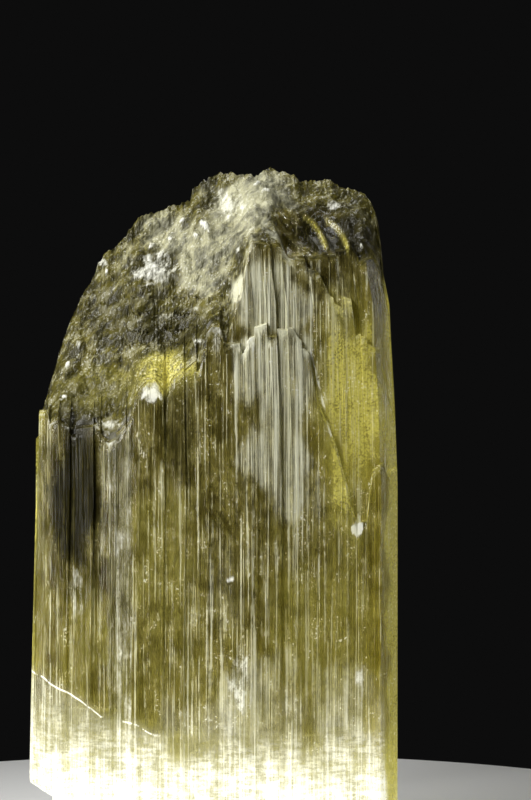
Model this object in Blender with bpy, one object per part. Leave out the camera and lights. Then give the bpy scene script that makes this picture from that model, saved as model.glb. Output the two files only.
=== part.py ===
"""A single natural spodumene crystal: a flattened, striated prism with an etched, rounded top.

The crystal stands on its broken base. Its prism zone runs up +Z, its broad front faces -Y
and its origin is the middle of the base. It is lofted from upright slices that run from the
front of the crystal to its back. Each slice is one closed outline in Y and Z: up the front
face, over three stepped ledges, up the etched dome to the ridge and down the back.
"""

import math
import random
from bisect import bisect_right
from collections import namedtuple

import bmesh
import bpy
from mathutils import Vector, noise

MM = 0.001

# Overall size, in millimetres like every length below
WIDTH = 32.0
HEIGHT = 58.0
DEPTH = 15.2
HALF_WIDTH = WIDTH / 2
HALF_DEPTH = DEPTH / 2
FULL_SETBACK_DEPTH = 0.75 * DEPTH

# The prism in plan, as (x, y) corners from the left edge to the right one
FRONT_PLAN = [
    (-16.0, -0.4), (-15.8, -2.2), (-14.1, -4.6), (-8.8, -6.2), (-6.7, -6.8),
    (3.2, -HALF_DEPTH), (14.3, -6.9), (15.8, -4.6), (16.0, -0.9),
]
BACK_PLAN = [
    (-16.0, 0.6), (-15.6, 3.0), (-12.6, 6.0), (-4.0, 7.2), (6.0, HALF_DEPTH),
    (13.2, 6.2), (15.7, 2.4), (16.0, 0.3),
]

# The two upright edges seen from the front, as (z, x)
LEFT_EDGE = [(0.0, -16.0), (5.2, -16.0), (11.3, -15.9), (20.0, -15.7), (28.8, -15.5), (HEIGHT, -15.5)]
RIGHT_EDGE = [
    (0.0, 16.0), (30.5, 16.0), (37.5, 15.75), (41.8, 15.5), (45.8, 15.3), (48.4, 14.8),
    (50.9, 14.6), (53.2, 14.3), (HEIGHT, 13.8),
]

# Heights seen from the front, as (x, z): the ridge, then the tops of the three stepped layers
RIDGE = [
    (-15.5, 34.2), (-15.2, 34.6), (-15.0, 36.7), (-14.6, 37.9), (-14.4, 38.9), (-13.9, 40.5),
    (-13.4, 42.3), (-12.3, 45.3), (-11.3, 47.5), (-10.8, 48.0), (-10.2, 49.7), (-9.7, 50.5),
    (-8.7, 51.0), (-7.6, 52.3), (-6.6, 53.7), (-5.5, 54.1), (-3.4, 54.8), (-2.1, 55.2),
    (-1.9, 56.1), (-0.8, 57.0), (0.6, 57.7), (1.8, 57.5), (3.9, 57.4), (4.4, HEIGHT),
    (5.4, 57.9), (6.5, 57.6), (7.5, 56.9), (10.2, 57.0), (10.7, 56.5), (12.2, 56.1),
    (13.3, 55.5), (13.8, 54.6), (14.3, 53.2),
]
FIRST_LAYER = [
    (-15.5, 33.8), (-15.2, 34.0), (-15.1, 36.4), (-14.1, 36.4), (-14.0, 35.4), (-13.2, 35.9),
    (-13.0, 35.2), (-12.0, 34.6), (-9.9, 34.8), (-8.8, 33.9), (-7.8, 34.4), (-6.9, 35.9),
    (-6.6, 37.7), (-5.7, 38.7), (-4.8, 38.7), (-4.1, 37.7), (-4.0, 36.4), (-3.8, 37.8),
    (-3.2, 38.7), (-1.1, 40.5), (-0.8, 42.0), (0.0, 42.9), (0.7, 42.9), (1.1, 41.6),
    (2.6, 41.7), (3.2, 42.7), (4.9, 43.4), (6.9, 43.2), (7.4, 42.3), (8.2, 41.8),
    (8.9, 37.5), (10.2, 34.4), (11.6, 29.5), (12.3, 27.4), (13.1, 27.7), (13.5, 31.4),
    (14.5, 32.1), (15.0, 31.0), (16.0, 31.4),
]
SECOND_LAYER = [
    (1.1, 41.7), (2.3, 46.2), (2.9, 49.5), (3.4, 50.5), (5.5, 50.1), (6.5, 49.4),
    (7.9, 49.3), (8.1, 48.6), (9.1, 48.2), (10.0, 46.3), (10.8, 45.9), (11.9, 45.5),
    (12.2, 42.4), (12.8, 42.7), (14.2, 42.1), (14.6, 39.9), (15.0, 37.5), (16.0, 34.0),
]
THIRD_LAYER = [
    (2.0, 46.2), (6.5, 49.4), (8.0, 49.6), (11.3, 49.8), (11.8, 50.3), (12.4, 49.2),
    (13.6, 49.5), (14.3, 49.1), (15.0, 46.2), (15.6, 42.7), (16.0, 37.5),
]
BACK_LEDGE = [
    (-15.5, 32.0), (-14.0, 34.0), (-11.0, 40.5), (-7.0, 45.5), (-1.0, 48.5), (4.0, 47.0),
    (9.0, 50.5), (13.0, 48.5), (14.3, 45.0),
]
LAYER_STEPS = (0.6, 0.9, 0.7)
BACK_STEP = 0.5
LEDGE_RISE = 0.15
FULL_STEP_HEIGHT = 1.2
LEAST_STEP = 0.03
LEAST_DOME = 0.35
LEAN_PASSES = 3

# Each growth column ends at its own height: how much so from place to place along x
RAGGED_TOPS = [(-15.0, 0.15), (-12.0, 0.5), (-5.0, 0.5), (0.0, 0.9), (8.0, 0.5), (14.0, 0.6)]

# The dome between the last ledge and the ridge
RIDGE_SHARE = 0.60
RIDGE_SWAY = 0.7
RIDGE_SWAY_LENGTH = 3.0
DOME_POWER = 0.82
BACK_POWER = 1.7
SETTLE_SHARE = 0.22

# The smooth conchoidal scoop below the ridge on the right
SCOOP_SPAN = (6.2, 7.3, 12.0, 13.2)
SCOOP_END = 0.60
SCOOP_RISE = 0.52
SCOOP_POWER = 3

# Lumps and dents of the dome seen from the front, as (x, z, radius, height)
LUMPS = [
    (-9.9, 49.4, 0.8, 0.55), (-5.5, 48.4, 2.1, 0.75), (-1.0, 51.5, 2.4, 0.55),
    (-4.4, 44.6, 1.3, -0.55), (-8.2, 40.6, 2.3, -0.45), (2.0, 54.6, 1.7, -0.5),
    (5.0, 55.6, 1.4, 0.5), (10.7, 54.5, 0.9, 0.5), (-11.3, 42.4, 1.3, 0.45),
]
TERRACE_SPAN = (-8.0, -6.5, 0.5, 2.0)
TERRACE_HEIGHTS = (41.5, 43.0, 46.5, 47.5)
TERRACE_PITCH = 1.25
TERRACE_DEPTH = 0.4
TERRACE_SWING = 0.35
TERRACE_SWING_LENGTH = 2.0
TERRACE_SWING_ROW = 7.0
BROAD_ROUGHNESS = (0.55, 2.6)
FINE_ROUGHNESS = (0.28, 1.1)
FULL_RELIEF_HEIGHT = 3.0
RELIEF_SHARE = 0.65
RELIEF_POWER = 0.5

# Striations: upright growth columns of uneven width that stand back by uneven depths
FRONT_COLUMN_WIDTH = (0.5, 1.6)
BACK_COLUMN_WIDTH = (1.1, 2.9)
COLUMN_DEPTH = 0.42
COLUMN_TILT = 0.07
SHALLOW_POWER = 2
COLUMN_FADE = (-15.6, -14.2, 14.2, 15.6)
STEP_HALF_WIDTH = 0.05
LEAST_GAP = 0.04
WIDEST_GAP = 0.9
SIDE_SLICES = (0.0, 0.04, 0.12, 0.2, 0.4)

# The broken base: the left corner has come away, and the rim is chipped
NOTCH_END = -13.65
NOTCH_HEIGHTS = (4.55, 3.6)
CHIP_HEIGHT = (0.25, 0.9)
CHIP_INSET = (0.3, 0.8)

# Rows of each slice's outline
FRONT_ROWS = 5
LAYER_ROWS = 2
DOME_ROWS = 18
BACK_DOME_ROWS = 8
BACK_ROWS = 5

# The crystal's look
COLOUR = (0.55, 0.52, 0.16, 1.0)
ROUGHNESS = 0.12
REFRACTIVE_INDEX = 1.66
TRANSMISSION = 0.8

SEED = 17

Column = namedtuple("Column", "start end depth tilt tops")
Faces = namedtuple("Faces", "front back")


def along(points, position):
    """Height of a broken line of (position, height) points, held level past its ends."""
    if position <= points[0][0]:
        return points[0][1]
    for (start, low), (end, high) in zip(points, points[1:]):
        if position <= end:
            return low + (high - low) * (position - start) / (end - start)
    return points[-1][1]


def ease(start, end, value):
    """0 before start, 1 after end and a smooth rise between them."""
    share = min(1.0, max(0.0, (value - start) / (end - start)))
    return share * share * (3 - 2 * share)


def window(span, value):
    """1 in the middle of a span of four rising values, easing to 0 at both ends."""
    return ease(span[0], span[1], value) * (1 - ease(span[2], span[3], value))


def mix(low, high, share):
    """The number at a share of the way from low to high."""
    return low + (high - low) * share


def lean(x, z):
    """How far a slice at x has moved sideways by height z, where the upright edges taper."""
    share = (x + HALF_WIDTH) / WIDTH
    left = along(LEFT_EDGE, z) + HALF_WIDTH
    right = along(RIGHT_EDGE, z) - HALF_WIDTH
    return left * (1 - share) + right * share


def height_on_slice(line, x):
    """Height of a line drawn in the front view, where the leaning slice at x meets it."""
    height = along(line, x)
    for _ in range(LEAN_PASSES):
        height = along(line, x + lean(x, height))
    return height


def growth_columns(widths, chance):
    """The growth columns of one face, from the left edge to the right one."""
    columns = []
    start = -HALF_WIDTH
    while start < HALF_WIDTH:
        end = start + chance.uniform(*widths)
        depth = COLUMN_DEPTH * chance.random() ** SHALLOW_POWER
        tilt = COLUMN_TILT * chance.uniform(-1, 1)
        tops = [chance.uniform(-1, 1) for _ in LAYER_STEPS]
        columns.append(Column(start, end, depth, tilt, tops))
        start = end
    return columns


def column_at(columns, x):
    """The growth column that holds x."""
    starts = [column.start for column in columns]
    return columns[bisect_right(starts, x) - 1]


def growth_depth(columns, x):
    """How far the prism face stands back at x, none at the crystal's edges."""
    column = column_at(columns, x)
    middle = (column.start + column.end) / 2
    depth = column.depth + column.tilt * (x - middle)
    return max(0.0, depth) * window(COLUMN_FADE, x)


def slice_positions(faces):
    """The x places of the slices: both sides of each column's edge, and enough between them."""
    edges = [column.start for columns in faces for column in columns[1:]]
    places = [side * (HALF_WIDTH - inset) for side in (-1, 1) for inset in SIDE_SLICES]
    for x in edges + [NOTCH_END]:
        if abs(x) < HALF_WIDTH - 2 * max(SIDE_SLICES):
            places += [x - STEP_HALF_WIDTH, x + STEP_HALF_WIDTH]
    kept = []
    for x in sorted(places):
        if kept and x - kept[-1] < LEAST_GAP:
            continue
        if kept and x - kept[-1] > WIDEST_GAP:
            kept.append((x + kept[-1]) / 2)
        kept.append(x)
    return kept


def foot_height(x):
    """Height of the crystal's underside: the base plane, or the roof of the broken left corner."""
    if x > NOTCH_END:
        return 0.0
    share = (x + HALF_WIDTH) / (NOTCH_END + HALF_WIDTH)
    return mix(*NOTCH_HEIGHTS, share)


def roughness(x, y, z):
    """Relief of the etched dome: broad swells with a finer grain over them."""
    broad, broad_size = BROAD_ROUGHNESS
    fine, fine_size = FINE_ROUGHNESS
    place = Vector((x, y, z))
    return broad * noise.noise(place / broad_size) + fine * noise.noise(place / fine_size)


def terrace(x, z):
    """Relief of the small horizontal ledges that cross the left of the dome."""
    presence = window(TERRACE_SPAN, x) * window(TERRACE_HEIGHTS, z)
    swing = TERRACE_SWING * noise.noise(Vector((x / TERRACE_SWING_LENGTH, 0.0, TERRACE_SWING_ROW)))
    return TERRACE_DEPTH * presence * (((z / TERRACE_PITCH + swing) % 1.0) - 0.5)


def dome_relief(x, y, z):
    """How far the dome stands out, to the front and upwards, at a point of it."""
    relief = roughness(x, y, z) + terrace(x, z)
    for lump_x, lump_z, radius, height in LUMPS:
        spread = ((x - lump_x) ** 2 + (z - lump_z) ** 2) / (2 * radius * radius)
        relief += height * math.exp(-spread)
    return relief


def dome_profile(x, share):
    """Share of the dome's height reached at a share of its depth: bulging, or hollow in the scoop."""
    bulge = share ** DOME_POWER
    if share < SCOOP_END:
        hollow = SCOOP_RISE * (share / SCOOP_END) ** SCOOP_POWER
    else:
        hollow = mix(SCOOP_RISE, 1.0, (share - SCOOP_END) / (1 - SCOOP_END))
    return mix(bulge, hollow, window(SCOOP_SPAN, x))


def layer_tops(x, raggedness):
    """Heights of the three stepped layers at x, none above the next and the dome's foot last."""
    highest = height_on_slice(RIDGE, x) - LEAST_DOME
    tops = []
    for row, line in enumerate((FIRST_LAYER, SECOND_LAYER, THIRD_LAYER)):
        height = height_on_slice(line, x) if x >= line[0][0] else 0.0
        height += along(RAGGED_TOPS, x) * raggedness[row]
        height = min(height, highest - LEAST_STEP * (len(LAYER_STEPS) - row))
        tops.append(max([height] + tops))
    return tops


def front_outline(x, columns, chance):
    """(y, z) points up the front of a slice, from its underside to the foot of the dome."""
    y = along(FRONT_PLAN, x) + growth_depth(columns, x)
    foot = foot_height(x)
    points = [(y + chance.uniform(*CHIP_INSET) * thinness(x), foot)]
    low = foot + chance.uniform(*CHIP_HEIGHT)
    for layer, top in enumerate(layer_tops(x, column_at(columns, x).tops)):
        high = max(low + LEAST_STEP, top)
        rows = LAYER_ROWS if layer else FRONT_ROWS
        presence = ease(0.0, FULL_STEP_HEIGHT, high - low)
        points += [(y, mix(low, high, row / rows)) for row in range(rows + 1)]
        y += max(LEAST_STEP, LAYER_STEPS[layer] * presence) * thinness(x)
        low = high + LEDGE_RISE * presence + LEAST_STEP
    return points + [(y, low)]


def back_outline(x, columns, chance):
    """(y, z) points up the back of a slice, from its underside to the foot of the dome."""
    y = along(BACK_PLAN, x) - growth_depth(columns, x)
    foot = foot_height(x)
    low = foot + chance.uniform(*CHIP_HEIGHT)
    high = min(height_on_slice(BACK_LEDGE, x), height_on_slice(RIDGE, x) - 2 * LEAST_DOME)
    high += along(RAGGED_TOPS, x) * column_at(columns, x).tops[0]
    points = [(y - chance.uniform(*CHIP_INSET) * thinness(x), foot)]
    points += [(y, mix(low, high, row / BACK_ROWS)) for row in range(BACK_ROWS + 1)]
    return points + [(y - BACK_STEP * thinness(x), high + LEDGE_RISE)]


def thinness(x):
    """Share of the full depth that the crystal has at x, which scales setbacks near its edges."""
    return min(1.0, (along(BACK_PLAN, x) - along(FRONT_PLAN, x)) / FULL_SETBACK_DEPTH)


def settle(ragged, smooth, share):
    """A point that leaves a ragged ledge and soon lies on the smooth form behind it."""
    settled = ease(0.0, SETTLE_SHARE, share)
    return mix(ragged[0], smooth[0], settled), mix(ragged[1], smooth[1], settled)


def dome_outline(x, front_ledge, back_ledge):
    """(y, z) points between the front's last ledge and the back's, over the ridge."""
    setback = sum(LAYER_STEPS) * thinness(x)
    dome_foot = layer_tops(x, [0.0] * len(LAYER_STEPS))[-1] + LEDGE_RISE
    front_foot = (along(FRONT_PLAN, x) + setback, dome_foot)
    back_foot = (along(BACK_PLAN, x) - BACK_STEP * thinness(x), back_ledge[1])
    sway = RIDGE_SWAY * noise.noise(Vector((x / RIDGE_SWAY_LENGTH, RIDGE_SWAY_LENGTH, 0.0)))
    ridge_y = mix(front_foot[0], back_foot[0], RIDGE_SHARE) + sway * thinness(x)
    ridge_z = height_on_slice(RIDGE, x)
    presence = min(1.0, (ridge_z - front_foot[1]) / FULL_RELIEF_HEIGHT) * thinness(x)
    points = []
    for row in range(1, DOME_ROWS):
        share = row / DOME_ROWS
        foot_y, foot_z = settle(front_ledge, front_foot, share)
        y = mix(foot_y, ridge_y, share)
        z = mix(foot_z, ridge_z, dome_profile(x, share))
        relief = dome_relief(x, y, z) * math.sin(math.pi * share) ** RELIEF_POWER * presence
        highest = ridge_z - LEAST_STEP * (DOME_ROWS - row)
        points.append((y - RELIEF_SHARE * relief, min(z + RELIEF_SHARE * relief, highest)))
    points.append((ridge_y, ridge_z))
    for row in range(1, BACK_DOME_ROWS):
        share = row / BACK_DOME_ROWS
        foot_y, foot_z = settle(back_ledge, back_foot, 1 - share)
        y = mix(ridge_y, foot_y, share)
        z = mix(ridge_z, foot_z, share ** BACK_POWER)
        relief = roughness(x, y, z) * math.sin(math.pi * share) * presence
        points.append((y + RELIEF_SHARE * relief, z + RELIEF_SHARE * relief))
    return points


def slice_outline(x, faces, chance):
    """The closed (y, z) outline of the slice at x, from the front underside round to the back one."""
    front = front_outline(x, faces.front, chance)
    back = back_outline(x, faces.back, chance)
    return front + dome_outline(x, front[-1], back[-1]) + back[::-1]


def centre_on_origin(shape):
    """Move the shape level so that the origin is the middle of its plan."""
    for axis in (0, 1):
        places = [vert.co[axis] for vert in shape.verts]
        middle = (min(places) + max(places)) / 2
        for vert in shape.verts:
            vert.co[axis] -= middle


def loft_slices():
    """A closed mesh through all the slices, capped at both ends."""
    chance = random.Random(SEED)
    front = growth_columns(FRONT_COLUMN_WIDTH, chance)
    faces = Faces(front, growth_columns(BACK_COLUMN_WIDTH, chance))
    shape = bmesh.new()
    rings = []
    for x in slice_positions(faces):
        ring = [
            shape.verts.new(Vector((x + lean(x, z), y, z)) * MM)
            for y, z in slice_outline(x, faces, chance)
        ]
        rings.append(ring)
    for left, right in zip(rings, rings[1:]):
        for i in range(len(left)):
            j = (i + 1) % len(left)
            shape.faces.new((left[i], right[i], right[j], left[j]))
    shape.faces.new(rings[0])
    shape.faces.new(rings[-1][::-1])
    centre_on_origin(shape)
    bmesh.ops.triangulate(shape, faces=shape.faces[:], quad_method="SHORT_EDGE")
    bmesh.ops.recalc_face_normals(shape, faces=shape.faces[:])
    return shape


def crystal_material():
    """Yellow-green, slightly cloudy spodumene."""
    material = bpy.data.materials.new("spodumene")
    material.use_nodes = True
    surface = material.node_tree.nodes["Principled BSDF"]
    surface.inputs["Base Color"].default_value = COLOUR
    surface.inputs["Roughness"].default_value = ROUGHNESS
    surface.inputs["Metallic"].default_value = 0.0
    surface.inputs["IOR"].default_value = REFRACTIVE_INDEX
    surface.inputs["Transmission Weight"].default_value = TRANSMISSION
    return material


def build_crystal():
    """The whole crystal as one solid."""
    shape = loft_slices()
    mesh = bpy.data.meshes.new("crystal")
    shape.to_mesh(mesh)
    shape.free()
    mesh.materials.append(crystal_material())
    crystal = bpy.data.objects.new("crystal", mesh)
    bpy.context.scene.collection.objects.link(crystal)
    return crystal


def main():
    """Clear the scene and build the crystal in it."""
    for old in list(bpy.data.objects):
        bpy.data.objects.remove(old, do_unlink=True)
    build_crystal()


main()
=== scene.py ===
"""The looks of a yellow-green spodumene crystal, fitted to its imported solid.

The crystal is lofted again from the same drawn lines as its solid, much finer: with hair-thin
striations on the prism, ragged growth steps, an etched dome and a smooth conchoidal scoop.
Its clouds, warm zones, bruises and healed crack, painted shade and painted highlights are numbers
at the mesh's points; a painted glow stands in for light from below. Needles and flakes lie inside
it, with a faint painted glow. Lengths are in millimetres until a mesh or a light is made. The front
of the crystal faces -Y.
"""

import logging
import math
import random
from bisect import bisect_right
from dataclasses import dataclass, field
from enum import Enum
from typing import Any, Sequence, Union

import bmesh
import bpy
from mathutils import Euler, Matrix, Vector, noise


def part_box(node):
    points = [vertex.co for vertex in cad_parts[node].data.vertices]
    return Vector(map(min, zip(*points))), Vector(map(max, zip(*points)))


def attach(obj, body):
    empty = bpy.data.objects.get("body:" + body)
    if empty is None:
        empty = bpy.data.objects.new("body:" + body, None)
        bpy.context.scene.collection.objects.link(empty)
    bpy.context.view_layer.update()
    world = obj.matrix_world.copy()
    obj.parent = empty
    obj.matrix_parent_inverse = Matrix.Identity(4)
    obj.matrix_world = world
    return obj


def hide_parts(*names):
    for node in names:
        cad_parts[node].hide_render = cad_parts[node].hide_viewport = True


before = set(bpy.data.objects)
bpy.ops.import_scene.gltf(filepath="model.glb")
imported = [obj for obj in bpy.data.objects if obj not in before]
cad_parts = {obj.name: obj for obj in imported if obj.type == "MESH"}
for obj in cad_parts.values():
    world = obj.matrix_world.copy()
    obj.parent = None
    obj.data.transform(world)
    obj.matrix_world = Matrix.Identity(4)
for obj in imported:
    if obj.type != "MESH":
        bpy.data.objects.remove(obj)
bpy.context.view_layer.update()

log = logging.getLogger("spodumene")

MM = 0.001
NODE = "crystal"
NOISE_MIDDLE = 0.5

Pair = tuple[float, float]
Triple = tuple[float, float, float]
Quad = tuple[float, float, float, float]
Row = tuple[float, ...]
Line = Sequence[Pair]
Colour = Triple
Number = Union["Term", float]


def along(points: Line, position: float) -> float:
    """Height of a broken line at a position, held level past its ends.

    Args:
        points: the line's corners, as (position, height).
        position: where the height is wanted.

    Returns:
        The height there.
    """
    if position <= points[0][0]:
        return points[0][1]
    for (start, low), (end, high) in zip(points, points[1:]):
        if position <= end:
            return low + (high - low) * (position - start) / (end - start)
    return points[-1][1]


def mix(low: float, high: float, share: float) -> float:
    """The number at a share of the way from low to high."""
    return low + (high - low) * share


def ease(start: float, end: float, value: float) -> float:
    """0 before start, 1 after end and a smooth rise between them."""
    share = min(1.0, max(0.0, (value - start) / (end - start)))
    return share * share * (3 - 2 * share)


def window(span: Sequence[float], value: float) -> float:
    """1 inside a span of four rising values, easing to 0 at both ends."""
    return ease(span[0], span[1], value) * (1 - ease(span[2], span[3], value))


def soft_noise(place: Sequence[float], size: Sequence[float]) -> float:
    """Smooth noise at a place, with swells of this size along X, Y and Z."""
    return noise.noise(Vector([part / length for part, length in zip(place, size)]))


def add_object(name: str, data: bpy.types.ID) -> bpy.types.Object:
    """Put a mesh, a light or a camera into the scene.

    Args:
        name: the object's name.
        data: its mesh, light or camera.

    Returns:
        The new object.
    """
    new = bpy.data.objects.new(name, data)
    bpy.context.scene.collection.objects.link(new)
    return new


class Term:
    """A number that runs through a material: Python's operators on it add Math nodes."""

    def __init__(self, shader: "Shader", socket: bpy.types.NodeSocket) -> None:
        """Wrap a socket of a shader."""
        self.shader = shader
        self.socket = socket

    def _join(self, operation: str, *values: Number) -> "Term":
        """A Math node of this operation on these values."""
        node = self.shader.node("Math", {"operation": operation}, dict(enumerate(values)))
        return Term(self.shader, node.outputs[0])

    def __add__(self, other: Number) -> "Term":
        """This plus other."""
        return self._join("ADD", self, other)

    def __sub__(self, other: Number) -> "Term":
        """This minus other."""
        return self._join("SUBTRACT", self, other)

    def __rsub__(self, other: Number) -> "Term":
        """Other minus this."""
        return self._join("SUBTRACT", other, self)

    def __mul__(self, other: Number) -> "Term":
        """This times other."""
        return self._join("MULTIPLY", self, other)

    __radd__ = __add__
    __rmul__ = __mul__

    def swing(self) -> "Term":
        """How far a noise is from its middle."""
        return self - NOISE_MIDDLE

    def above(self, other: Number) -> "Term":
        """The larger of this and other."""
        return self._join("MAXIMUM", self, other)

    def step(self, start: float, end: float) -> "Term":
        """0 before start, 1 after end and a smooth rise (or fall) between them.

        Args:
            start: value at which the rise starts.
            end: value at which it ends; it is a fall if this is the lower one.

        Returns:
            The rise or fall, between 0 and 1.
        """
        low, high = (start, end) if start < end else (end, start)
        settings = {"interpolation_type": "SMOOTHSTEP"}
        sockets = {"Value": self, "From Min": low, "From Max": high}
        node = self.shader.node("MapRange", settings, sockets)
        risen = Term(self.shader, node.outputs[0])
        return risen if start < end else 1 - risen


@dataclass(frozen=True)
class Rise:
    """A smooth rise or fall, from 0 at its start to its strength at its end."""

    start: float
    end: float
    strength: float = 1.0

    def of(self, number: Term) -> Term:
        """This rise of a number."""
        risen = number.step(self.start, self.end)
        return risen if self.strength == 1.0 else risen * self.strength


@dataclass(frozen=True)
class Grain:
    """Settings of a cloudy noise.

    Attributes:
        scale: its turns per millimetre along X, Y and Z.
        detail: how many finer layers it has.
        roughness: how strong those layers are.
        turn: how its grain is turned about X, Y and Z, in degrees.
    """

    scale: Triple
    detail: float
    roughness: float
    turn: Triple = (0.0, 0.0, 0.0)


class Shader:
    """A material under construction, with one way to add any node."""

    def __init__(self, name: str) -> None:
        """Start a material that has only its coordinates.

        Args:
            name: the material's name.
        """
        self.material = bpy.data.materials.new(name)
        self.material.use_nodes = True
        self.material.cycles.emission_sampling = "NONE"
        self.tree = self.material.node_tree
        self.tree.nodes.clear()
        coordinates = self.node("TexCoord")
        self.place = self.scaled(Term(self, coordinates.outputs["Object"]), (1 / MM,) * 3)

    def node(
        self, kind: str, settings: dict[str, Any] | None = None, sockets: dict[Any, Any] | None = None
    ) -> bpy.types.Node:
        """Add a node.

        Args:
            kind: the node's type, without its ShaderNode prefix.
            settings: the node's own properties, set before its sockets.
            sockets: values for its input sockets, by name or number; a Term or a node is linked.

        Returns:
            The new node.
        """
        node = self.tree.nodes.new("ShaderNode" + kind)
        for name, value in (settings or {}).items():
            setattr(node, name, value)
        for name, value in (sockets or {}).items():
            if isinstance(value, Term):
                self.tree.links.new(value.socket, node.inputs[name])
            elif isinstance(value, bpy.types.Node):
                self.tree.links.new(value.outputs[0], node.inputs[name])
            else:
                node.inputs[name].default_value = value
        return node

    def scaled(self, vector: Term, scale: Sequence[float]) -> Term:
        """A vector with each of its parts scaled."""
        node = self.node("VectorMath", {"operation": "MULTIPLY"}, {0: vector, 1: scale})
        return Term(self, node.outputs[0])

    def parts(self, vector: Term) -> list[Term]:
        """The X, Y and Z of a vector."""
        node = self.node("SeparateXYZ", None, {0: vector})
        return [Term(self, socket) for socket in node.outputs]

    def noise(self, grain: Grain) -> Term:
        """Cloudy noise, from 0 to 1.

        Args:
            grain: its settings.

        Returns:
            The noise.
        """
        place = self.place
        if any(grain.turn):
            angles = [math.radians(angle) for angle in grain.turn]
            settings = {"rotation_type": "EULER_XYZ"}
            turned = self.node("VectorRotate", settings, {"Vector": place, "Rotation": angles})
            place = Term(self, turned.outputs[0])
        node = self.node("TexNoise", None, {
            "Vector": self.scaled(place, grain.scale),
            "Scale": 1.0,
            "Detail": grain.detail,
            "Roughness": grain.roughness,
        })
        return Term(self, node.outputs[0])

    def attribute(self, name: str, output: str = "Fac") -> Term:
        """A number or a vector that the mesh carries at its points."""
        node = self.node("Attribute", {"attribute_name": name})
        return Term(self, node.outputs[output])

    def blend(self, first: Colour | Term, second: Colour | Term, share: Term) -> Term:
        """A colour between two others.

        Args:
            first: colour where the share is 0.
            second: colour where the share is 1.
            share: how much of the second colour shows.

        Returns:
            The blended colour.
        """
        colours = [c if isinstance(c, Term) else (*c, 1.0) for c in (first, second)]
        sockets = {0: share, 6: colours[0], 7: colours[1]}
        node = self.node("Mix", {"data_type": "RGBA"}, sockets)
        return Term(self, node.outputs[2])

    def bump(self, height: Term, depth: float, strength: float) -> Term:
        """A surface normal tipped by relief of this depth in millimetres.

        Args:
            height: height of the relief, as a share of its depth.
            depth: its depth in millimetres.
            strength: how much of it shows.

        Returns:
            The tipped normal.
        """
        sockets = {"Height": height, "Distance": depth * MM, "Strength": strength}
        node = self.node("Bump", None, sockets)
        return Term(self, node.outputs[0])


@dataclass(frozen=True)
class Zone:
    """A soft-edged oval of the crystal, drawn in the front view.

    Attributes:
        x: its middle from the crystal's middle.
        z: its middle above the base.
        wide: half its width.
        tall: half its height.
        strength: how much of it shows; over 1 its edge is fuller.
        fade: the shares of its reach where it ends and where it is full.
    """

    x: float
    z: float
    wide: float
    tall: float
    strength: float
    fade: Pair = (1.3, 0.5)

    def share(self, x: float, z: float, wander: float) -> float:
        """Its strength inside and 0 outside, with an edge that wanders."""
        reach = math.hypot((x - self.x) / self.wide, (z - self.z) / self.tall) + wander
        return self.strength * ease(*self.fade, reach)


@dataclass(frozen=True)
class Stroke:
    """A thin line on the crystal, drawn in the front view.

    Attributes:
        points: its corners, as (x, z).
        width: half its width.
        strength: how much of it shows.
    """

    points: Line
    width: float
    strength: float

    def share(self, x: float, z: float) -> float:
        """Its strength on the line, fading to 0 at half its width from it.

        Args:
            x: place across.
            z: height.

        Returns:
            The strength there.
        """
        nearest = self.width
        for (x1, z1), (x2, z2) in zip(self.points, self.points[1:]):
            run = (x2 - x1, z2 - z1)
            reach = ((x - x1) * run[0] + (z - z1) * run[1]) / (run[0] ** 2 + run[1] ** 2)
            reach = min(1.0, max(0.0, reach))
            nearest = min(nearest, math.hypot(x - x1 - run[0] * reach, z - z1 - run[1] * reach))
        return self.strength * ease(self.width, 0.0, nearest)


@dataclass(frozen=True)
class Wander:
    """How the edges of zones wander: two layers of smooth noise.

    Attributes:
        size: length of the broad layer's swells along X, Y and Z.
        broad: strength of the broad layer.
        fine: strength of the fine layer.
        closer: how many times finer that layer is.
    """

    size: Triple
    broad: float
    fine: float
    closer: float

    def at(self, place: Triple) -> float:
        """How far an edge is pushed in at a place."""
        spot = Vector([part / length for part, length in zip(place, self.size)])
        return self.broad * noise.noise(spot) + self.fine * noise.noise(spot * self.closer)


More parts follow.
